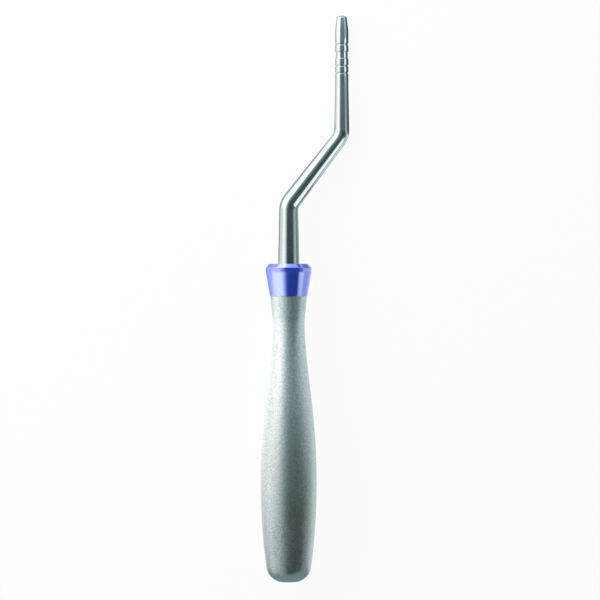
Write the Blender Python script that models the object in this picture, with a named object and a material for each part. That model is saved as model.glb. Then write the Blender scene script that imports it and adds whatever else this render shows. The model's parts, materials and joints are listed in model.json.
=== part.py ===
"""An offset osteotome: a waisted steel handle, a colour ring and a shaft that is bent twice.

The tool is drawn upright, with the middle of its butt at the origin, +Z towards the tip and
the shaft offset towards +X. An empty then lays it down as it comes to rest, on the belly of
the handle, the rim of the ring and the working end. All sizes are in metres.
"""

import math

import bmesh
import bpy
from mathutils import Vector
from mathutils.geometry import interpolate_bezier

# Handle
HANDLE_LENGTH = 0.0792
STRIKING_FACE_DIAMETER = 0.0029
BELLY_DIAMETER = 0.01558
BELLY_HEIGHT = 0.02775
BELLY_RADIUS = 0.1766
WAIST_DIAMETER = 0.00879
WAIST_RADIUS = 0.073
MOUTH_DIAMETER = 0.01014
MOUTH_CONE_LENGTH = 0.0066

# Colour ring
RING_HEIGHT = 0.0088
RING_BASE_DIAMETER = 0.01044
RING_RIM_DIAMETER = 0.01274
RING_RIM_HEIGHT = 0.00115
RING_CHAMFER_HEIGHT = 0.00107
RING_TOP_DIAMETER = 0.0110

# Shaft, with each length measured to the corner where its straight centrelines would meet
SHOULDER_DIAMETER = 0.00587
NECK_LENGTH = 0.01623
OFFSET = 0.01474
BEND_ANGLE = math.radians(37.42)
LOWER_BEND_RADIUS = 0.0046
UPPER_BEND_RADIUS = 0.0052
TIP_LENGTH = 0.03328
WORKING_DIAMETER = 0.00373

# Nose of the shaft
NOSE_LENGTH = 0.00417
NOSE_END_DIAMETER = 0.00275
DOME_RADIUS = 0.00225

# Depth marks, measured from the end of the nose
FIRST_MARK = 0.008
MARK_STEP = 0.002
MARK_WIDTH = 0.0005
MARK_FLANK = 0.00015
MARK_DEPTH = 0.0002
PLAIN_LENGTH_PAST_MARKS = 0.004

# Tang of the shaft and its bore in the handle
TANG_DIAMETER = 0.0045
TANG_CHAMFER = 0.0004
TANG_DEPTH_IN_HANDLE = 0.016
BORE_RELIEF = 0.001

# Clearances between pieces
SEAT_GAP = 0.0003
FIT_GAP = 0.0001

# Facets
SIDES = 48
BEND_STEPS = 10
DOME_STEPS = 5
BUTT_STEPS = 8
BELLY_STEPS = 6
FLANK_STEPS = 14
MERGE_DISTANCE = 0.000001
SHARP_ANGLE = math.radians(25)

BUTT_END = -math.pi / 2
RING_BASE = HANDLE_LENGTH + SEAT_GAP
SHOULDER_HEIGHT = RING_BASE + RING_HEIGHT + SEAT_GAP


def clear_scene():
    for old in list(bpy.data.objects):
        bpy.data.objects.remove(old, do_unlink=True)


def metal(name, colour, roughness):
    material = bpy.data.materials.new(name)
    material.use_nodes = True
    shader = material.node_tree.nodes["Principled BSDF"]
    shader.inputs["Base Color"].default_value = (*colour, 1)
    shader.inputs["Metallic"].default_value = 1
    shader.inputs["Roughness"].default_value = roughness
    return material


def arc(centre, radius, first, last, steps):
    """Points of an outline along an arc. Its angles turn from straight out towards the tip."""
    angles = [first + (last - first) * step / steps for step in range(steps + 1)]
    return [centre + radius * Vector((math.cos(angle), math.sin(angle))) for angle in angles]


def spun(outline, through_bore=False):
    """The mesh of an outline of (radius, height) points, turned once round +Z."""
    mesh = bmesh.new()
    points = [mesh.verts.new((radius, 0, height)) for radius, height in outline]
    lines = [mesh.edges.new(ends) for ends in zip(points, points[1:])]
    if through_bore:
        lines.append(mesh.edges.new((points[-1], points[0])))
    bmesh.ops.spin(
        mesh,
        geom=points + lines,
        cent=(0, 0, 0),
        axis=(0, 0, 1),
        angle=2 * math.pi,
        steps=SIDES,
        use_merge=True,
    )
    bmesh.ops.remove_doubles(mesh, verts=mesh.verts, dist=MERGE_DISTANCE)
    bmesh.ops.recalc_face_normals(mesh, faces=mesh.faces)
    return mesh


def piece(name, mesh, material, height):
    """The object of a mesh, in its finish, at its height on the tool's axis."""
    data = bpy.data.meshes.new(name)
    mesh.to_mesh(data)
    mesh.free()
    data.materials.append(material)
    data.shade_smooth()
    data.set_sharp_from_angle(angle=SHARP_ANGLE)
    made = bpy.data.objects.new(name, data)
    made.location = (0, 0, height)
    bpy.context.scene.collection.objects.link(made)
    return made


def butt_outline():
    """The striking face, its rounded edge and the belly's arc, up to the thickest place.

    The rounded edge starts at the rim of the striking face and runs smoothly into the arc.
    """
    face = STRIKING_FACE_DIAMETER / 2
    belly_centre = Vector((BELLY_DIAMETER / 2 - BELLY_RADIUS, BELLY_HEIGHT))
    inset = face - belly_centre.x
    edge_radius = (BELLY_RADIUS**2 - inset**2 - BELLY_HEIGHT**2) / (2 * (BELLY_RADIUS - BELLY_HEIGHT))
    edge_centre = Vector((face, edge_radius))
    towards_edge = edge_centre - belly_centre
    meeting = math.atan2(towards_edge.y, towards_edge.x)
    rounded = arc(edge_centre, edge_radius, BUTT_END, meeting, BUTT_STEPS)
    belly = arc(belly_centre, BELLY_RADIUS, meeting, 0, BELLY_STEPS)
    return [Vector((0, 0))] + rounded + belly[1:]


def flank_outline():
    """The curve from the belly up to the waist.

    It is one Bezier curve. Its two handles are as long as gives each end its own radius.
    """
    belly = Vector((BELLY_DIAMETER / 2, BELLY_HEIGHT))
    waist = Vector((WAIST_DIAMETER / 2, HANDLE_LENGTH - MOUTH_CONE_LENGTH))
    swell = belly.x - waist.x
    belly_handle = belly + Vector((0, math.sqrt(2 / 3 * swell * BELLY_RADIUS)))
    waist_handle = waist - Vector((0, math.sqrt(2 / 3 * swell * WAIST_RADIUS)))
    return interpolate_bezier(belly, belly_handle, waist_handle, waist, FLANK_STEPS + 1)


def bore_outline():
    """The mouth's face and the blind bore for the tang, down to the middle of its floor."""
    bore = TANG_DIAMETER / 2 + FIT_GAP
    floor = HANDLE_LENGTH - TANG_DEPTH_IN_HANDLE - BORE_RELIEF
    return [
        (MOUTH_DIAMETER / 2, HANDLE_LENGTH),
        (bore, HANDLE_LENGTH),
        (bore, floor),
        (0, floor),
    ]


def make_handle():
    outline = butt_outline() + flank_outline()[1:] + bore_outline()
    steel = metal("blasted_steel", (0.56, 0.60, 0.60), 0.5)
    return piece("handle", spun(outline), steel, 0)


def make_ring():
    """The ring is turned from its base up: a cone, an upright rim and a chamfer to its top."""
    rim_top = RING_HEIGHT - RING_CHAMFER_HEIGHT
    bore = TANG_DIAMETER / 2 + FIT_GAP
    outline = [
        (bore, 0),
        (RING_BASE_DIAMETER / 2, 0),
        (RING_RIM_DIAMETER / 2, rim_top - RING_RIM_HEIGHT),
        (RING_RIM_DIAMETER / 2, rim_top),
        (RING_TOP_DIAMETER / 2, RING_HEIGHT),
        (bore, RING_HEIGHT),
    ]
    anodised = metal("anodised_aluminium", (0.16, 0.22, 0.80), 0.28)
    return piece("colour_ring", spun(outline, through_bore=True), anodised, RING_BASE)


def shaft_runs():
    """The straights and bends above the shoulder, each as (length, turn) of its centreline."""
    half_turn = math.tan(BEND_ANGLE / 2)
    lower_cut = LOWER_BEND_RADIUS * half_turn
    upper_cut = UPPER_BEND_RADIUS * half_turn
    slope_length = OFFSET / math.sin(BEND_ANGLE)
    return [
        (NECK_LENGTH - lower_cut, 0),
        (LOWER_BEND_RADIUS * BEND_ANGLE, BEND_ANGLE),
        (slope_length - lower_cut - upper_cut, 0),
        (UPPER_BEND_RADIUS * BEND_ANGLE, -BEND_ANGLE),
        (TIP_LENGTH - upper_cut, 0),
    ]


def centreline(distance):
    """The bent centreline's point, and its lean towards +X, at a distance from the shoulder."""
    point = Vector((0, 0, 0))
    lean = 0
    for length, turn in shaft_runs():
        travelled = min(distance, length)
        new_lean = lean + turn * travelled / length
        if turn:
            across = math.cos(lean) - math.cos(new_lean)
            along = math.sin(new_lean) - math.sin(lean)
            point += length / turn * Vector((across, 0, along))
        else:
            point += travelled * Vector((math.sin(lean), 0, math.cos(lean)))
        lean = new_lean
        distance -= travelled
        if distance <= 0:
            break
    return point, lean


def mark(centre, width):
    """A turned groove with sloping flanks, as outline points towards the tip."""
    surface = WORKING_DIAMETER / 2
    floor = surface - MARK_DEPTH
    return [
        (surface, centre - width / 2),
        (floor, centre - width / 2 + MARK_FLANK),
        (floor, centre + width / 2 - MARK_FLANK),
        (surface, centre + width / 2),
    ]


def taper_outline(rod_length):
    """The rod's even taper, with an outline point at each step of both bends."""
    working_start = rod_length - FIRST_MARK - 4 * MARK_STEP - PLAIN_LENGTH_PAST_MARKS
    stops = {working_start}
    run_start = 0
    for length, turn in shaft_runs():
        if turn:
            stops.update(run_start + length * step / BEND_STEPS for step in range(BEND_STEPS + 1))
        run_start += length
    narrowing = (SHOULDER_DIAMETER - WORKING_DIAMETER) / 2
    return [
        (SHOULDER_DIAMETER / 2 - narrowing * min(stop / working_start, 1), stop)
        for stop in sorted(stops)
    ]


def shaft_outline(rod_length):
    """The rod as it is turned, before it is bent, from the tang's end to the end of the nose."""
    tang = TANG_DIAMETER / 2
    tang_end = -(SEAT_GAP + RING_HEIGHT + SEAT_GAP + TANG_DEPTH_IN_HANDLE)
    outline = [
        (0, tang_end),
        (tang - TANG_CHAMFER, tang_end),
        (tang, tang_end + TANG_CHAMFER),
        (tang, 0),
        (SHOULDER_DIAMETER / 2, 0),
    ]
    outline += taper_outline(rod_length)

    first_mark = rod_length - FIRST_MARK
    outline += mark(first_mark - 4 * MARK_STEP, MARK_WIDTH)
    outline += mark(first_mark - 3 * MARK_STEP, MARK_WIDTH)
    outline += mark(first_mark - 1.5 * MARK_STEP, MARK_STEP)
    outline += mark(first_mark, MARK_WIDTH)

    dome_centre = Vector((0, rod_length - DOME_RADIUS))
    dome_edge = math.acos(NOSE_END_DIAMETER / 2 / DOME_RADIUS)
    dome = arc(dome_centre, DOME_RADIUS, dome_edge, math.pi / 2, DOME_STEPS)
    outline.append((WORKING_DIAMETER / 2, rod_length - NOSE_LENGTH))
    outline += dome[:-1]
    outline.append((0, rod_length))
    return outline


def bend(mesh):
    """Carries the straight rod's vertices to the bent centreline, each ring staying square to it."""
    for vertex in mesh.verts:
        point, lean = centreline(vertex.co.z)
        sideways = Vector((math.cos(lean), 0, -math.sin(lean)))
        vertex.co = point + vertex.co.x * sideways + vertex.co.y * Vector((0, 1, 0))


def make_shaft():
    rod_length = sum(length for length, turn in shaft_runs())
    mesh = spun(shaft_outline(rod_length))
    bend(mesh)
    steel = metal("polished_steel", (0.60, 0.64, 0.64), 0.15)
    return piece("shaft", mesh, steel, SHOULDER_HEIGHT)


def resting_tilt():
    """How far the axis dips towards the tip, with the belly and the ring's rim on one surface."""
    rim_height = RING_BASE + RING_HEIGHT - RING_CHAMFER_HEIGHT
    across = BELLY_RADIUS + (RING_RIM_DIAMETER - BELLY_DIAMETER) / 2
    along = rim_height - BELLY_HEIGHT
    return math.atan2(along, across) - math.acos(BELLY_RADIUS / math.hypot(across, along))


def resting_roll(tilt):
    """How far the tool rolls about its axis before the start of the nose meets the surface."""
    rim_height = RING_BASE + RING_HEIGHT - RING_CHAMFER_HEIGHT
    tip_centre, lean = centreline(sum(length for length, turn in shaft_runs()))
    nose_start = SHOULDER_HEIGHT + tip_centre.z - NOSE_LENGTH
    axis_there = RING_RIM_DIAMETER / 2 - (nose_start - rim_height) * math.tan(tilt)
    return math.asin((axis_there - WORKING_DIAMETER / 2) / tip_centre.x)


def lay_down(pieces):
    """Parents the pieces to an empty that lays them on z = 0, centred in x and y."""
    tilt = resting_tilt()
    rest = bpy.data.objects.new("rest", None)
    rest.rotation_mode = "ZYX"
    rest.rotation_euler = (-math.pi / 2 - tilt, 0, resting_roll(tilt))
    bpy.context.scene.collection.objects.link(rest)
    for each in pieces:
        each.parent = rest
    bpy.context.view_layer.update()
    points = [each.matrix_world @ vertex.co for each in pieces for vertex in each.data.vertices]
    low = Vector([min(point[axis] for point in points) for axis in range(3)])
    high = Vector([max(point[axis] for point in points) for axis in range(3)])
    rest.location = (-(low.x + high.x) / 2, -(low.y + high.y) / 2, -low.z)


clear_scene()
lay_down([make_handle(), make_ring(), make_shaft()])
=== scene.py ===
import json
import math

import bmesh
import bpy
from mathutils import Matrix, Vector
from mathutils.geometry import interpolate_bezier


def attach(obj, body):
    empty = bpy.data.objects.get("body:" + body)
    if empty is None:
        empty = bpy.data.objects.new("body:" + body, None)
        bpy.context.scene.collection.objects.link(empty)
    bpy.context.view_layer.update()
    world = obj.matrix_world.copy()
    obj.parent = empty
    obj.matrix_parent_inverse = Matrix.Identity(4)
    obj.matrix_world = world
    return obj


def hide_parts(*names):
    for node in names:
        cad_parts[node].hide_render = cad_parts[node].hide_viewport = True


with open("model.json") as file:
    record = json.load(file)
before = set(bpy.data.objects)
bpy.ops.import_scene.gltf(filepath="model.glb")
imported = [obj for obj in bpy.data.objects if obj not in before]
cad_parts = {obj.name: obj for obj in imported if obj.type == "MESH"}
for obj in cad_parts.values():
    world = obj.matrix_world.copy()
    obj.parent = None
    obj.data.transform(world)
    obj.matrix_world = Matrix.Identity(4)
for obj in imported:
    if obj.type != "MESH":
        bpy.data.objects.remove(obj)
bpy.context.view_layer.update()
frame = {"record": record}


# An offset osteotome lies on the belly of its handle, the rim of its ring and its working end.
# Each piece is made upright, with its axis on +Z and the shaft's offset towards +X, and is then
# laid down, with the middle of the butt where the frame has it.
SHAFT_OFFSET = 0.01474
WORKING_DIAMETER = 0.00373
NOSE_LENGTH = 0.00417
TOOL_LENGTH = 0.15737

striking_face = frame["record"]["mounts"][0]
butt = Vector(striking_face["pos_m"])
tilt = math.asin(striking_face["axis"][2])
axis_at_nose = butt.z / math.cos(tilt) - (TOOL_LENGTH - NOSE_LENGTH) * math.tan(tilt)
roll = math.asin((axis_at_nose - WORKING_DIAMETER / 2) / SHAFT_OFFSET)
laid_down = (
    Matrix.Translation(butt)
    @ Matrix.Rotation(-math.pi / 2 - tilt, 4, "X")
    @ Matrix.Rotation(roll, 4, "Z")
)


# The handle is turned from stainless bar: a rounded butt with a small striking flat, a long
# belly, a waist and a short cone to the mouth. It is then bead-blasted, apart from the butt,
# and a blind bore in its mouth holds the tang of the shaft.
HANDLE_LENGTH = 0.07936
STRIKING_FACE_DIAMETER = 0.0029
BELLY_DIAMETER = 0.01558
BELLY_HEIGHT = 0.02775
BELLY_RADIUS = 0.1766
WAIST_DIAMETER = 0.00879
WAIST_HEIGHT = 0.0726
WAIST_RADIUS = 0.073
WAIST_ROUNDING = 0.0009
MOUTH_DIAMETER = 0.01018
MOUTH_EDGE = 0.0001
TANG_DIAMETER = 0.0045
BORE_FLOOR_HEIGHT = 0.0622
FIT_GAP = 0.0001
HANDLE_SIDES = 160
BUTT_STEPS = 24
BELLY_STEPS = 16
FLANK_POINTS = 41
EDGE_SEGMENTS = 4
DOUBLES = 0.0000002
SHADING_RUN = 6
SHADING_STEP = 1.6
SHARP_ANGLE = math.radians(40)


def arc(centre, radius, first, last, steps):
    """Points along an arc of an outline. Its angles turn from straight out towards the tip."""
    angles = [first + (last - first) * step / steps for step in range(steps + 1)]
    return [centre + radius * Vector((math.cos(angle), math.sin(angle))) for angle in angles]


def turned(outline, sides, rounded, through_bore=False):
    """An outline of (radius, height) points, turned once round +Z.

    rounded gives, for each corner that isn't left as it is, how far from it its rounding starts.
    A long straight run gets a point near its rounded end, so that it is shaded straight.
    """
    mesh = bmesh.new()
    points = []
    corners = {}
    for index, place in enumerate(outline):
        here = Vector(place)
        near = []
        for neighbour in (index - 1, index + 1):
            run = Vector(outline[neighbour % len(outline)]) - here
            short = index not in rounded or run.length < SHADING_RUN * rounded[index]
            near.append(None if short else here + run.normalized() * SHADING_STEP * rounded[index])
        for spot in (near[0], here, near[1]):
            if spot is not None:
                points.append(mesh.verts.new((spot.x, 0, spot.y)))
            if spot is here:
                corners[index] = points[-1]
    for ends in zip(points, points[1:]):
        mesh.edges.new(ends)
    if through_bore:
        mesh.edges.new((points[-1], points[0]))
    for corner, width in rounded.items():
        bmesh.ops.bevel(
            mesh,
            geom=[corners[corner]],
            offset=width,
            offset_type="OFFSET",
            segments=EDGE_SEGMENTS,
            profile=0.5,
            affect="VERTICES",
            material=-1,
        )
    bmesh.ops.spin(
        mesh,
        geom=mesh.verts[:] + mesh.edges[:],
        cent=(0, 0, 0),
        axis=(0, 0, 1),
        angle=2 * math.pi,
        steps=sides,
        use_merge=True,
    )
    bmesh.ops.remove_doubles(mesh, verts=mesh.verts[:], dist=DOUBLES)
    bmesh.ops.recalc_face_normals(mesh, faces=mesh.faces[:])
    height = mesh.verts.layers.float.new("height")
    for vertex in mesh.verts:
        vertex[height] = vertex.co.z
    return mesh


def lay_piece(name, mesh, finish, node):
    """Lays a piece down in the tool, in place of its CAD node."""
    bmesh.ops.transform(mesh, matrix=laid_down, verts=mesh.verts[:])
    data = bpy.data.meshes.new(name)
    mesh.to_mesh(data)
    mesh.free()
    data.shade_smooth()
    data.set_sharp_from_angle(angle=SHARP_ANGLE)
    data.materials.append(finish)
    made = bpy.data.objects.new(name, data)
    bpy.context.scene.collection.objects.link(made)
    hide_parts(node)
    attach(made, "root")
    return made


def handle_outline():
    """The handle's outside, from the middle of its butt to its waist."""
    belly_centre = Vector((BELLY_DIAMETER / 2 - BELLY_RADIUS, BELLY_HEIGHT))
    face = STRIKING_FACE_DIAMETER / 2
    inset = face - belly_centre.x
    edge = (BELLY_RADIUS**2 - inset**2 - BELLY_HEIGHT**2) / (2 * (BELLY_RADIUS - BELLY_HEIGHT))
    edge_centre = Vector((face, edge))
    towards_edge = edge_centre - belly_centre
    meeting = math.atan2(towards_edge.y, towards_edge.x)
    butt_edge = arc(edge_centre, edge, -math.pi / 2, meeting, BUTT_STEPS)
    lower_belly = arc(belly_centre, BELLY_RADIUS, meeting, 0, BELLY_STEPS)

    belly = Vector((BELLY_DIAMETER / 2, BELLY_HEIGHT))
    waist = Vector((WAIST_DIAMETER / 2, WAIST_HEIGHT))
    swell = belly.x - waist.x
    # Pulls this long give the curve the belly's radius at one end and the waist's at the other.
    belly_pull = belly + Vector((0, math.sqrt(2 / 3 * swell * BELLY_RADIUS)))
    waist_pull = waist - Vector((0, math.sqrt(2 / 3 * swell * WAIST_RADIUS)))
    flank = interpolate_bezier(belly, belly_pull, waist_pull, waist, FLANK_POINTS)
    return [Vector((0, 0))] + butt_edge + lower_belly[1:] + flank[1:]


outside = handle_outline()
waist_corner = len(outside) - 1
mouth_corner = waist_corner + 1
bore_radius = TANG_DIAMETER / 2 + FIT_GAP
outside += [
    (MOUTH_DIAMETER / 2, HANDLE_LENGTH),
    (bore_radius, HANDLE_LENGTH),
    (bore_radius, BORE_FLOOR_HEIGHT),
    (0, BORE_FLOOR_HEIGHT),
]
handle_edges = {waist_corner: WAIST_ROUNDING, mouth_corner: MOUTH_EDGE}
handle_mesh = turned(outside, HANDLE_SIDES, handle_edges)


def new_finish(name):
    """A material with its nodes, its Principled shader and a function that adds a node to it."""
    made = bpy.data.materials.new(name)
    made.use_nodes = True
    tree = made.node_tree

    def add(kind, settings=None, inputs=None):
        node = tree.nodes.new(kind)
        for key, value in (settings or {}).items():
            setattr(node, key, value)
        for key, value in (inputs or {}).items():
            if isinstance(value, bpy.types.NodeSocket):
                tree.links.new(value, node.inputs[key])
            else:
                node.inputs[key].default_value = value
        return node

    return made, tree, tree.nodes["Principled BSDF"], add


def grain(add, size, detail):
    """Grains of one size, all over the piece."""
    place = add("ShaderNodeTexCoord").outputs["Object"]
    inputs = {"Vector": place, "Scale": 1 / size, "Detail": detail}
    return add("ShaderNodeTexNoise", {}, inputs).outputs["Fac"]


def ramp(add, value, start, end, low, high):
    """Goes smoothly from low to high as the value goes from start to end."""
    inputs = {"Value": value, "From Min": start, "From Max": end, "To Min": low, "To Max": high}
    return add("ShaderNodeMapRange", {"interpolation_type": "SMOOTHSTEP"}, inputs).outputs[0]


def calculated(add, operation, first, second):
    """A number worked out from two others."""
    return add("ShaderNodeMath", {"operation": operation}, {0: first, 1: second}).outputs[0]


def between(add, share, first, second):
    """A number between two others."""
    inputs = {0: share, 2: first, 3: second}
    return add("ShaderNodeMix", {"data_type": "FLOAT"}, inputs).outputs[0]


def mixed(add, share, first, second):
    """A colour between two others."""
    inputs = {0: share, 6: first, 7: second}
    return add("ShaderNodeMix", {"data_type": "RGBA"}, inputs).outputs[2]


def bumped(add, height, strength, distance, normal=None):
    """The surface's direction, dented by a height, on top of the dents that it has already."""
    inputs = {"Height": height, "Strength": strength, "Distance": distance}
    if normal:
        inputs["Normal"] = normal
    return add("ShaderNodeBump", {}, inputs).outputs["Normal"]


BLASTED_DARK = (0.33, 0.405, 0.405, 1)
BLASTED_LIGHT = (0.65, 0.77, 0.77, 1)
BUTT_POLISH = (0.0026, 0.0040)
MOUTH_POLISH = (0.0790, 0.0791)
PIT_SIZE = 0.00042
PIT_DEPTH = 0.00004
PIT_ROUGHNESS = (0.33, 0.41)
SPECK_SIZE = 0.00026
SPECK_DEPTH = 0.00003
GRAIN_RANGE = (0.3, 0.7)
GRAIN_SHARE = 0.5
CLOUD_SIZE = 0.004
CLOUD_RANGE = (0.35, 0.65)
CLOUD_ROUGHNESS = 0.04
SMOOTH_TONE = 0.5
SMOOTH_ROUGHNESS = 0.32

blasted, tree, shader, add = new_finish("blasting")
shader.inputs["Metallic"].default_value = 1
height = add("ShaderNodeAttribute", {"attribute_name": "height"}).outputs["Fac"]
above_butt = ramp(add, height, *BUTT_POLISH, 0, 1)
below_mouth = ramp(add, height, *MOUTH_POLISH, 1, 0)
blast = calculated(add, "MULTIPLY", above_butt, below_mouth)
pits = grain(add, PIT_SIZE, detail=3)
specks = grain(add, SPECK_SIZE, detail=1)
clouds = grain(add, CLOUD_SIZE, detail=2)
pit_tone = ramp(add, pits, *GRAIN_RANGE, 0, GRAIN_SHARE)
speck_tone = ramp(add, specks, *GRAIN_RANGE, 0, GRAIN_SHARE)
tone = between(add, blast, SMOOTH_TONE, calculated(add, "ADD", pit_tone, speck_tone))
tree.links.new(mixed(add, tone, BLASTED_DARK, BLASTED_LIGHT), shader.inputs["Base Color"])
pit_roughness = ramp(add, pits, *GRAIN_RANGE, *PIT_ROUGHNESS)
cloud_roughness = ramp(add, clouds, *CLOUD_RANGE, 0, CLOUD_ROUGHNESS)
rough = calculated(add, "ADD", pit_roughness, cloud_roughness)
rough = between(add, blast, SMOOTH_ROUGHNESS, rough)
tree.links.new(rough, shader.inputs["Roughness"])
dented = bumped(add, pits, blast, PIT_DEPTH)
tree.links.new(bumped(add, specks, blast, SPECK_DEPTH, dented), shader.inputs["Normal"])

handle = lay_piece("blasted_handle", handle_mesh, blasted, "handle")


# The colour ring is turned from aluminium and anodised, so that the size is told at a glance.
# It is a cone with an upright rim and a chamfered top, its sharp edges just broken. The tang
# passes through it, and the shaft's shoulder clamps it on the mouth of the handle.
RING_BASE_HEIGHT = 0.0794
RING_TOP_HEIGHT = 0.0884
RING_CHAMFER_HEIGHT = 0.00107
RING_RIM_HEIGHT = 0.00115
RING_BASE_DIAMETER = 0.01042
RING_RIM_DIAMETER = 0.01274
RING_TOP_DIAMETER = 0.0110
RING_EDGE = 0.00006
RING_SIDES = 160

rim_top = RING_TOP_HEIGHT - RING_CHAMFER_HEIGHT
ring_outline = [
    (bore_radius, RING_BASE_HEIGHT),
    (RING_BASE_DIAMETER / 2, RING_BASE_HEIGHT),
    (RING_RIM_DIAMETER / 2, rim_top - RING_RIM_HEIGHT),
    (RING_RIM_DIAMETER / 2, rim_top),
    (RING_TOP_DIAMETER / 2, RING_TOP_HEIGHT),
    (bore_radius, RING_TOP_HEIGHT),
]
ring_edges = {corner: RING_EDGE for corner in range(1, 5)}
ring_mesh = turned(ring_outline, RING_SIDES, ring_edges, through_bore=True)

ANODISED_DEEP = (0.02, 0.08, 0.95, 1)
ANODISED_BLUE = (0.024, 0.095, 1.0, 1)
DYE_SIZE = 0.0012
RING_LINE_SPACING = 0.0001
RING_ROUGHNESS = (0.28, 0.30)


def lathe_lines(add, spacing):
    """Fine lines round the piece, as the lathe and the polishing belt leave them."""
    height = add("ShaderNodeAttribute", {"attribute_name": "height"}).outputs["Fac"]
    inputs = {"W": height, "Scale": 1 / spacing, "Detail": 2}
    return add("ShaderNodeTexNoise", {"noise_dimensions": "1D"}, inputs).outputs["Fac"]


anodised, tree, shader, add = new_finish("blue_anodising")
shader.inputs["Metallic"].default_value = 0.42
shader.inputs["Coat Weight"].default_value = 1.0
shader.inputs["Coat IOR"].default_value = 3.0
shader.inputs["Coat Roughness"].default_value = 0.1
lines = lathe_lines(add, RING_LINE_SPACING)
dye = ramp(add, grain(add, DYE_SIZE, detail=2), *CLOUD_RANGE, 0, 1)
tree.links.new(mixed(add, dye, ANODISED_DEEP, ANODISED_BLUE), shader.inputs["Base Color"])
tree.links.new(ramp(add, lines, *GRAIN_RANGE, *RING_ROUGHNESS), shader.inputs["Roughness"])

ring = lay_piece("anodised_ring", ring_mesh, anodised, "colour_ring")


# The shaft is one stainless rod. It is turned straight, with its tang, taper, depth marks and
# nose, is then polished, and is bent twice in one plane, so that its working end runs beside
# the axis of the handle. The marks are grooves at 8, 14 and 16 mm and a broad one at 10 to 12.
TANG_END_HEIGHT = 0.0632
TANG_CHAMFER = 0.0004
SHOULDER_HEIGHT = 0.08843
SHOULDER_DIAMETER = 0.00587
LOWER_CORNER_HEIGHT = 0.10483
BEND_ANGLE = math.radians(37.42)
LOWER_BEND_RADIUS = 0.0046
UPPER_BEND_RADIUS = 0.0052
WORKING_LENGTH = 0.020
NOSE_END_DIAMETER = 0.00275
NOSE_EDGE = 0.00015
DOME_RADIUS = 0.00225
FIRST_MARK = 0.008
MARK_STEP = 0.002
MARK_WIDTH = 0.00055
MARK_FLANK = 0.00016
MARK_DEPTH = 0.0002
MARK_EDGE = 0.00007
SHAFT_SIDES = 128
BEND_STEPS = 20
STRAIGHT_STEPS = 12
DOME_STEPS = 8

half_turn = math.tan(BEND_ANGLE / 2)
lower_cut = LOWER_BEND_RADIUS * half_turn
upper_cut = UPPER_BEND_RADIUS * half_turn
slope_length = SHAFT_OFFSET / math.sin(BEND_ANGLE)
upper_corner_height = LOWER_CORNER_HEIGHT + SHAFT_OFFSET / math.tan(BEND_ANGLE)
runs = [
    (LOWER_CORNER_HEIGHT - SHOULDER_HEIGHT - lower_cut, 0),
    (LOWER_BEND_RADIUS * BEND_ANGLE, BEND_ANGLE),
    (slope_length - lower_cut - upper_cut, 0),
    (UPPER_BEND_RADIUS * BEND_ANGLE, -BEND_ANGLE),
    (TOOL_LENGTH - upper_corner_height - upper_cut, 0),
]
rod_end = SHOULDER_HEIGHT + sum(length for length, turn in runs)


def rod_outline():
    """The straight rod's outline, and how far each of its sharper corners is rounded."""
    tang = TANG_DIAMETER / 2
    outline = [
        (0, TANG_END_HEIGHT),
        (tang - TANG_CHAMFER, TANG_END_HEIGHT),
        (tang, TANG_END_HEIGHT + TANG_CHAMFER),
        (tang, SHOULDER_HEIGHT),
    ]
    working_start = rod_end - WORKING_LENGTH
    stops = [SHOULDER_HEIGHT]
    for length, turn in runs[:-1]:
        steps = BEND_STEPS if turn else STRAIGHT_STEPS
        stops += [stops[-1] + length * (step + 1) / steps for step in range(steps)]
    stops.append(working_start)
    shoulder = SHOULDER_DIAMETER / 2
    surface = WORKING_DIAMETER / 2
    narrowing = (shoulder - surface) / (working_start - SHOULDER_HEIGHT)
    outline += [(shoulder - narrowing * (stop - SHOULDER_HEIGHT), stop) for stop in stops]

    # Each mark's middle, in steps down from the first mark, and its width.
    marks = [(4, MARK_WIDTH), (3, MARK_WIDTH), (1.5, MARK_STEP), (0, MARK_WIDTH)]
    rounded = {}
    for steps_down, width in marks:
        start = rod_end - FIRST_MARK - steps_down * MARK_STEP - width / 2
        for depth, height in (
            (0, start),
            (MARK_DEPTH, start + MARK_FLANK),
            (MARK_DEPTH, start + width - MARK_FLANK),
            (0, start + width),
        ):
            rounded[len(outline)] = MARK_EDGE
            outline.append((surface - depth, height))

    outline.append((surface, rod_end - NOSE_LENGTH))
    dome_edge = math.acos(NOSE_END_DIAMETER / 2 / DOME_RADIUS)
    dome_centre = Vector((0, rod_end - DOME_RADIUS))
    dome = arc(dome_centre, DOME_RADIUS, dome_edge, math.pi / 2, DOME_STEPS)
    rounded[len(outline)] = NOSE_EDGE
    return outline + dome[:-1] + [(0, rod_end)], rounded


def bend(mesh):
    """Bends the straight rod: each slice of it stays square to the bent centreline."""
    for vertex in mesh.verts:
        left = vertex.co.z - SHOULDER_HEIGHT
        centre = Vector((0, 0, SHOULDER_HEIGHT))
        lean = 0
        for length, turn in runs:
            travelled = min(left, length)
            new_lean = lean + turn * travelled / length
            if turn:
                sideways = math.cos(lean) - math.cos(new_lean)
                upwards = math.sin(new_lean) - math.sin(lean)
                centre += length / turn * Vector((sideways, 0, upwards))
            else:
                centre += travelled * Vector((math.sin(lean), 0, math.cos(lean)))
            lean = new_lean
            left -= travelled
            if left <= 0:
                break
        outwards = Vector((math.cos(lean), 0, -math.sin(lean)))
        vertex.co = centre + vertex.co.x * outwards + vertex.co.y * Vector((0, 1, 0))


outline, shaft_edges = rod_outline()
shaft_mesh = turned(outline, SHAFT_SIDES, shaft_edges)
bend(shaft_mesh)

STEEL_DARK = (0.535, 0.66, 0.66, 1)
STEEL_LIGHT = (0.565, 0.70, 0.70, 1)
STEEL_EDGE_TINT = (0.4, 0.4, 0.4, 1)
POLISHING_SPACING = 0.00009
POLISHING_DEPTH = 0.0000004
HAZE_SIZE = 0.002
HAZE_ROUGHNESS = (0.10, 0.15)

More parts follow.
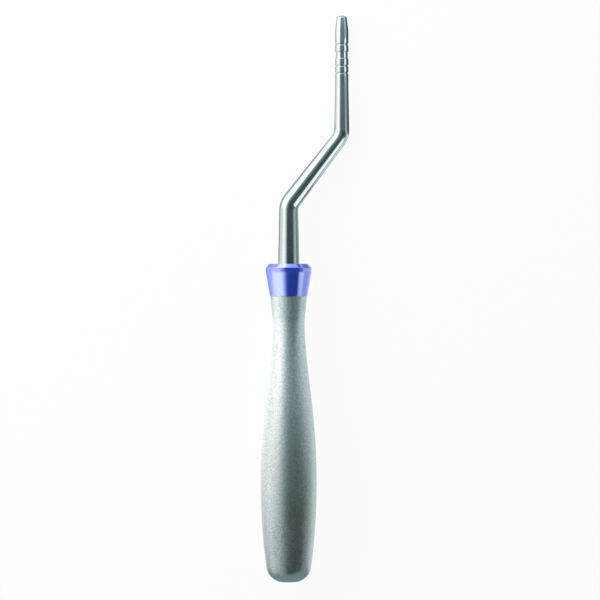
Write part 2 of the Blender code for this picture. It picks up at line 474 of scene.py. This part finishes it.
polished, tree, shader, add = new_finish("polish")
shader.inputs["Metallic"].default_value = 1
shader.inputs["Specular Tint"].default_value = STEEL_EDGE_TINT
lines = lathe_lines(add, POLISHING_SPACING)
haze = grain(add, HAZE_SIZE, detail=3)
tree.links.new(mixed(add, lines, STEEL_DARK, STEEL_LIGHT), shader.inputs["Base Color"])
tree.links.new(ramp(add, haze, *GRAIN_RANGE, *HAZE_ROUGHNESS), shader.inputs["Roughness"])
tree.links.new(bumped(add, lines, 1.0, POLISHING_DEPTH), shader.inputs["Normal"])

shaft = lay_piece("polished_shaft", shaft_mesh, polished, "shaft")


# The floor is a sheet of white card under the tool. It is seen white by the camera and by the
# metal, and it keeps a soft shadow where the tool touches it.
FLOOR_SIZE = 3.0
FLOOR_DROP = 0.00008
CARD_COLOUR = (0.97, 0.97, 0.97, 1)
SHOWN_WHITE = 0.95


def stand(name, mesh, finish):
    """Adds a piece of the studio, which isn't part of the tool."""
    bmesh.ops.recalc_face_normals(mesh, faces=mesh.faces[:])
    data = bpy.data.meshes.new(name)
    mesh.to_mesh(data)
    mesh.free()
    data.materials.append(finish)
    made = bpy.data.objects.new(name, data)
    bpy.context.scene.collection.objects.link(made)
    return made


card, tree, shader, add = new_finish("white_card")
shader.inputs["Base Color"].default_value = CARD_COLOUR
shader.inputs["Roughness"].default_value = 1
shader.inputs["Specular IOR Level"].default_value = 0
rays = add("ShaderNodeLightPath")
seen = calculated(add, "MAXIMUM", rays.outputs["Is Camera Ray"], rays.outputs["Is Glossy Ray"])
seen = calculated(add, "MAXIMUM", seen, rays.outputs["Is Transmission Ray"])
share = calculated(add, "MULTIPLY", seen, SHOWN_WHITE)
white = add("ShaderNodeEmission", {}, {"Color": (1, 1, 1, 1), "Strength": 1.0})
shared = {0: share, 1: shader.outputs[0], 2: white.outputs[0]}
mix = add("ShaderNodeMixShader", {}, shared)
tree.links.new(mix.outputs[0], tree.nodes["Material Output"].inputs["Surface"])
floor_mesh = bmesh.new()
bmesh.ops.create_grid(floor_mesh, x_segments=1, y_segments=1, size=FLOOR_SIZE)
bmesh.ops.translate(floor_mesh, verts=floor_mesh.verts[:], vec=(0, 0, -FLOOR_DROP))
stand("floor", floor_mesh, card)


# The light is a ball-shaped tent of white cloth round the tool, lit from outside, most of all
# from the left and from past the tip. The slot over the tool, for the lens, stays dark. Its x is
# across the handle, its y along it towards the tip, and its z towards the lens.
TENT_RADIUS = 0.45
TENT_SIDES = 64
TENT_RINGS = 32

# Each of these is where a change of light starts and ends, and its level at either end.
SLOT_BY_TOOL = (0.02, 0.12, 0.058, 0.26)
SLOT_PAST_TIP = (0.15, 0.45, 0, 1.2)
LEFT_BY_TOOL = (-0.166, 0.236, 0.53, 2.2)
LEFT_PAST_TIP = (0.08, 0.3, 0, 1.5)
LEFT_WAIST_RISE = (-0.12, -0.03, 0, 0.5)
LEFT_NECK_FALL = (0.0, 0.028, 1, 0)
LEFT_NEAR_FLOOR = (math.radians(-90), math.radians(-55), 1, 0)
NEAR_FLOOR_LEVEL = (-0.03, 0.03, 1.52, 0.68)
RIGHT_BY_TOOL = (-0.03, 0.025, 0.03, 0.49)
RIGHT_PAST_TIP = (0.08, 0.3, 0, 0.6)

# The left light ends at the first pair of angles and the right one starts at the second. A turn
# is how far such an end swings for each metre along the handle.
LEFT_FULL = math.radians(-53)
LEFT_EDGE = math.radians(-11)
LEFT_TURN = math.radians(20)
RIGHT_EDGE = math.radians(50)
RIGHT_FULL = math.radians(66)
RIGHT_TURN = math.radians(70)

LEFT_COLOUR_BY_BUTT = (0.92, 0.99, 0.98, 1)
LEFT_COLOUR_BY_TIP = (1.22, 0.98, 0.96, 1)
LEFT_COLOUR_PAST_TIP = (0.92, 1.0, 1.04, 1)
LEFT_COLOUR_NEAR_SLOT = (0.80, 1.0, 1.0, 1)
BUTT_TO_TIP = (-0.2, 0.1, 0, 1)
TIP_TO_PAST = (0.2, 0.4, 0, 1)
TOWARDS_SLOT = (math.radians(-62), LEFT_EDGE, 0, 1)
SLOT_COLOUR = (0.80, 1.0, 1.02)
RIGHT_COLOUR = (0.90, 1.0, 1.0)


def tent_place(add):
    """Where a spot of the tent is: along the handle, and its angle across it from the lens."""
    place = add("ShaderNodeTexCoord").outputs["Object"]
    axes = add("ShaderNodeSeparateXYZ", {}, {0: place}).outputs
    return axes["Y"], calculated(add, "ARCTAN2", axes["X"], axes["Z"])


def light(add, colour, level):
    """A light's colour at its level."""
    inputs = {0: colour, "Scale": level}
    return add("ShaderNodeVectorMath", {"operation": "SCALE"}, inputs).outputs[0]


def swung(add, along, across, turn):
    """The angle across the tool, swung by a turn for each metre along it."""
    return calculated(add, "ADD", calculated(add, "MULTIPLY", along, turn), across)


def stand_light(name, mesh, finish):
    """Stands a light round the tool, seen only by its surfaces."""
    made = stand(name, mesh, finish)
    made.matrix_world = laid_down @ Matrix.Rotation(math.pi / 2, 4, "X")
    made.location = (0, 0, 0)
    made.visible_camera = False
    return made


cloth, tree, _, add = new_finish("tent_cloth")
along, across = tent_place(add)

by_tool = ramp(add, along, *SLOT_BY_TOOL)
past_tip = ramp(add, along, *SLOT_PAST_TIP)
slot = light(add, SLOT_COLOUR, calculated(add, "ADD", by_tool, past_tip))

by_tool = ramp(add, along, *LEFT_BY_TOOL)
past_tip = ramp(add, along, *LEFT_PAST_TIP)
waist_rise = ramp(add, along, *LEFT_WAIST_RISE)
neck_fall = ramp(add, along, *LEFT_NECK_FALL)
left_level = calculated(add, "ADD", by_tool, past_tip)
brighter = calculated(add, "MULTIPLY", waist_rise, neck_fall)
left_level = calculated(add, "ADD", left_level, brighter)
warmth = ramp(add, along, *BUTT_TO_TIP)
left_colour = mixed(add, warmth, LEFT_COLOUR_BY_BUTT, LEFT_COLOUR_BY_TIP)
far = ramp(add, along, *TIP_TO_PAST)
left_colour = mixed(add, far, left_colour, LEFT_COLOUR_PAST_TIP)
cooling = ramp(add, across, *TOWARDS_SLOT)
left_colour = mixed(add, cooling, left_colour, LEFT_COLOUR_NEAR_SLOT)
left = light(add, left_colour, left_level)
low_level = ramp(add, along, *NEAR_FLOOR_LEVEL)
left = light(add, left, between(add, ramp(add, across, *LEFT_NEAR_FLOOR), 1, low_level))

by_tool = ramp(add, along, *RIGHT_BY_TOOL)
past_tip = ramp(add, along, *RIGHT_PAST_TIP)
right = light(add, RIGHT_COLOUR, calculated(add, "ADD", by_tool, past_tip))

left_share = ramp(add, swung(add, along, across, LEFT_TURN), LEFT_FULL, LEFT_EDGE, 1, 0)
right_share = ramp(add, swung(add, along, across, RIGHT_TURN), RIGHT_EDGE, RIGHT_FULL, 0, 1)
tent_light = mixed(add, right_share, mixed(add, left_share, slot, left), right)
glow = add("ShaderNodeEmission", {}, {"Color": tent_light, "Strength": 1.0})
tree.links.new(glow.outputs[0], tree.nodes["Material Output"].inputs["Surface"])
tent_mesh = bmesh.new()
bmesh.ops.create_uvsphere(
    tent_mesh, u_segments=TENT_SIDES, v_segments=TENT_RINGS, radius=TENT_RADIUS
)
stand_light("light_tent", tent_mesh, cloth)


# Three arcs of clear, glowing film stand closer in, each seen by one piece only, and the tent
# still shows through them. The first is narrow and is there for the cone of the ring. It is
# bright on the left, faint over the tool and paler on the right.
ARC_STEPS = 48
ARC_FIRST = math.radians(-103)
ARC_LAST = math.radians(80)
RING_ARC_RADIUS = 0.12
RING_ARC_ENDS = (-0.045, -0.018)
RING_CORE = (-0.028, -0.019, 0, 0.12)
RING_LEFT_LEVEL = 1.78
RING_LEFT_FULL = math.radians(-45)
RING_LEFT_EDGE = math.radians(-6)
RING_NEAR_FLOOR = (math.radians(-105), math.radians(-60), 0.24, 1)
RING_RIGHT = (math.radians(43), math.radians(60), 0, 1.5)
RING_RIGHT_ALONG = (-0.042, -0.030, 0, 1)
RING_COOLING = (math.radians(-36), RING_LEFT_EDGE, 0, 1)
RING_LEFT_COLOUR = (1.0, 1.14, 1.13, 1)
RING_RIGHT_COLOUR = (0.85, 1.05, 1.08, 1)


def stand_arc(name, radius, ends, film, piece):
    """Stands an arc of light over the tool, from one place along it to another, for one piece."""
    mesh = bmesh.new()
    first = Matrix.Rotation(ARC_FIRST, 3, "Y") @ Vector((0, 0, radius))
    corners = [mesh.verts.new((first.x, end, first.z)) for end in ends]
    bmesh.ops.spin(
        mesh,
        geom=corners + [mesh.edges.new(corners)],
        cent=(0, 0, 0),
        axis=(0, 1, 0),
        angle=ARC_LAST - ARC_FIRST,
        steps=ARC_STEPS,
    )
    made = stand_light(name, mesh, film)
    made.visible_diffuse = False
    made.visible_shadow = False
    made.visible_transmission = False
    receivers = bpy.data.collections.new(name)
    receivers.objects.link(piece)
    made.light_linking.receiver_collection = receivers


def shine(add, tree, colour, level):
    """Makes a finish glow, and lets what is behind it show through."""
    glow = add("ShaderNodeEmission", {}, {"Color": light(add, colour, level), "Strength": 1.0})
    clear = add("ShaderNodeBsdfTransparent")
    both = add("ShaderNodeAddShader", {}, {0: glow.outputs[0], 1: clear.outputs[0]})
    tree.links.new(both.outputs[0], tree.nodes["Material Output"].inputs["Surface"])


ring_film, tree, _, add = new_finish("arc_light")
along, across = tent_place(add)
core = ramp(add, along, *RING_CORE)
left_level = ramp(add, across, RING_LEFT_FULL, RING_LEFT_EDGE, RING_LEFT_LEVEL, core)
near_floor = ramp(add, across, *RING_NEAR_FLOOR)
left_level = calculated(add, "MULTIPLY", left_level, near_floor)
right_level = ramp(add, across, *RING_RIGHT)
right_fade = ramp(add, along, *RING_RIGHT_ALONG)
right_level = calculated(add, "MULTIPLY", right_level, right_fade)
level = calculated(add, "ADD", left_level, right_level)
cooling = ramp(add, across, *RING_COOLING)
shine(add, tree, mixed(add, cooling, RING_LEFT_COLOUR, RING_RIGHT_COLOUR), level)
stand_arc("ring_light", RING_ARC_RADIUS, RING_ARC_ENDS, ring_film, ring)


# The second arc of film is there for the waist of the handle. It lifts the shade there, warm on
# the left and cooler towards the right.
HANDLE_ARC_RADIUS = 0.05
HANDLE_ARC_ENDS = (-0.034, 0.012)
HANDLE_RISE = (-0.034, -0.010, 0, 1)
HANDLE_FALL = (0.0, 0.012, 1, 0)
HANDLE_LEVEL = (math.radians(-28), math.radians(15), 0.38, 0.13)
HANDLE_LEFT_COLOUR = (1.25, 1.0, 0.98, 1)
HANDLE_RIGHT_COLOUR = (0.75, 1.0, 1.02, 1)

handle_film, tree, _, add = new_finish("handle_fill")
along, across = tent_place(add)
rise = ramp(add, along, *HANDLE_RISE)
fall = ramp(add, along, *HANDLE_FALL)
faded = calculated(add, "MULTIPLY", rise, fall)
level = calculated(add, "MULTIPLY", faded, ramp(add, across, *HANDLE_LEVEL))
colour_share = ramp(add, across, *TOWARDS_SLOT)
shine(add, tree, mixed(add, colour_share, HANDLE_LEFT_COLOUR, HANDLE_RIGHT_COLOUR), level)
stand_arc("handle_light", HANDLE_ARC_RADIUS, HANDLE_ARC_ENDS, handle_film, handle)


# The third arc of film is there for the slope of the shaft between its bends. It is faint over
# the tool, and bright and warm beside it, where it draws the white line along the slope.
SLOPE_ARC_RADIUS = 0.3
SLOPE_ARC_ENDS = (-0.2, 0.018)
SLOPE_OVER_TOOL = (0.0, 0.018, 0.06, 0)
SLOPE_BESIDE = (math.radians(37), math.radians(44), 0, 1.2)
SLOPE_BESIDE_ALONG = (-0.07, -0.03, 1, 0)
SLOPE_COLOUR_OVER = (0.80, 1.0, 1.0, 1)
SLOPE_COLOUR_BESIDE = (1.12, 1.0, 0.98, 1)

slope_film, tree, _, add = new_finish("slope_side")
along, across = tent_place(add)
over = ramp(add, along, *SLOPE_OVER_TOOL)
beside = ramp(add, across, *SLOPE_BESIDE)
beside = calculated(add, "MULTIPLY", beside, ramp(add, along, *SLOPE_BESIDE_ALONG))
slope_colour = mixed(add, beside, SLOPE_COLOUR_OVER, SLOPE_COLOUR_BESIDE)
shine(add, tree, slope_colour, calculated(add, "ADD", over, beside))
stand_arc("slope_light", SLOPE_ARC_RADIUS, SLOPE_ARC_ENDS, slope_film, shaft)


# White and grey cards lie on the floor and stand or hang over it, where only the metal sees
# them. Those that lie draw the bright and dark bands on the sides of the tool. The others show
# in the butt, in the slope of the shaft and in its tip.
CARD_BASE = -0.00006
CARD_TOP = -0.00004
CARD_LIFTED = -0.00002
BUTT_LINE = -0.0786
WARM_WHITE = (1.05, 0.99, 0.98)
NEUTRAL_WHITE = (1.0, 1.0, 1.0)
BUTT_GREY = (0.30, 0.36, 0.36)
LEFT_FADE = (-0.080, -0.02, 0.75, 1.7)
RIGHT_FADE = (-0.065, 0.005, 0.36, 0.95)


def add_card(name, colour, low, high, fade=None):
    """A card that only shows in the metal, from its low corner to its high one."""
    finish, tree, _, add = new_finish(name)
    glow = add("ShaderNodeEmission", {}, {"Color": (*colour, 1), "Strength": 1.0})
    if fade:
        place = add("ShaderNodeTexCoord").outputs["Object"]
        along = add("ShaderNodeSeparateXYZ", {}, {0: place}).outputs["Y"]
        tree.links.new(ramp(add, along, *fade), glow.inputs["Strength"])
    tree.links.new(glow.outputs[0], tree.nodes["Material Output"].inputs["Surface"])
    mesh = bmesh.new()
    bmesh.ops.create_cube(mesh, size=1)
    size = Vector(high) - Vector(low)
    bmesh.ops.scale(mesh, verts=mesh.verts[:], vec=size)
    bmesh.ops.translate(mesh, verts=mesh.verts[:], vec=Vector(low) + size / 2)
    made = stand(name, mesh, finish)
    made.visible_camera = False
    made.visible_diffuse = False
    made.visible_shadow = False
    made.visible_transmission = False


# The handle: white cards on both sides, which fade towards the butt.
add_card(
    "left_card",
    colour=WARM_WHITE,
    low=(-0.1, BUTT_LINE, CARD_BASE),
    high=(-0.004, -0.006, CARD_TOP),
    fade=LEFT_FADE,
)
add_card(
    "right_card",
    colour=NEUTRAL_WHITE,
    low=(0.022, BUTT_LINE, CARD_BASE),
    high=(0.45, 0.004, CARD_TOP),
    fade=RIGHT_FADE,
)

# The butt: a grey card on the floor past it, and one that stands on that.
add_card(
    "grey_card",
    colour=BUTT_GREY,
    low=(-0.12, -0.25, CARD_BASE),
    high=(0.12, BUTT_LINE, CARD_TOP),
)
add_card(
    "grey_back",
    colour=BUTT_GREY,
    low=(-0.12, -0.171, 0),
    high=(0.12, -0.17, 0.06),
)

# The shaft: dark cards right of the working end and of the neck, and a paler one left of it.
add_card(
    "dark_card",
    colour=(0.13, 0.16, 0.16),
    low=(0.0125, 0.045, CARD_BASE),
    high=(0.07, 0.1, CARD_TOP),
)
add_card(
    "neck_card",
    colour=(0.29, 0.34, 0.34),
    low=(0.004, 0.0098, CARD_BASE),
    high=(0.07, 0.027, CARD_TOP),
)
add_card(
    "limb_card",
    colour=(0.50, 0.62, 0.66),
    low=(-0.024, 0.0105, CARD_BASE),
    high=(0.0, 0.05, CARD_TOP),
)

# The ring: a bluish card on either side.
add_card(
    "left_ring_card",
    colour=(0.42, 0.64, 0.85),
    low=(-0.024, -0.001, CARD_BASE),
    high=(0.0, 0.0095, CARD_TOP),
)
add_card(
    "right_ring_card",
    colour=(0.66, 0.86, 1.0),
    low=(0.0075, -0.004, CARD_TOP),
    high=(0.06, 0.007, CARD_LIFTED),
)

# The slope of the shaft: a grey card right of it, and a white one on its edge by the ring.
add_card(
    "gap_card",
    colour=(0.46, 0.55, 0.58),
    low=(0.02, 0.027, CARD_BASE),
    high=(0.07, 0.045, CARD_TOP),
)
add_card(
    "slope_card",
    colour=(1.7, 1.5, 1.5),
    low=(0.02, 0.0073, 0),
    high=(0.07, 0.0077, 0.0145),
)

# The tip: a white card that hangs right of its plain length.
add_card(
    "tip_card",
    colour=(1.6, 1.5, 1.5),
    low=(0.0400, 0.0640, 0.0060),
    high=(0.0402, 0.0752, 0.0225),
)


# The room round the tent is white. The tent is out of the camera's sight, so that the room is
# what shows past the edge of the floor in a low view.
world = bpy.data.worlds.new("white_room")
world.use_nodes = True
world.node_tree.nodes["Background"].inputs["Color"].default_value = (1, 1, 1, 1)
world.node_tree.nodes["Background"].inputs["Strength"].default_value = 1.0
bpy.context.scene.world = world


# The camera looks down on the tool, square to the plane of its bends, through a long lens. Its
# frame takes in the whole tool, and its aim is a place across the handle's axis and up along it.
LENS = 300
FRAME_WIDTH = 0.16667
AIM_RIGHT = 0.00313
AIM_HEIGHT = 0.07837
FAR_CLIP = 20

lens_data = bpy.data.cameras.new("camera")
lens_data.lens = LENS
lens_data.clip_end = FAR_CLIP
camera = bpy.data.objects.new("camera", lens_data)
bpy.context.scene.collection.objects.link(camera)
distance = FRAME_WIDTH * LENS / lens_data.sensor_width
aim = Matrix.Translation((AIM_RIGHT, -distance, AIM_HEIGHT))
camera.matrix_world = laid_down @ aim @ Matrix.Rotation(math.pi / 2, 4, "X")
bpy.context.scene.camera = camera
bpy.context.scene.view_settings.view_transform = "Standard"
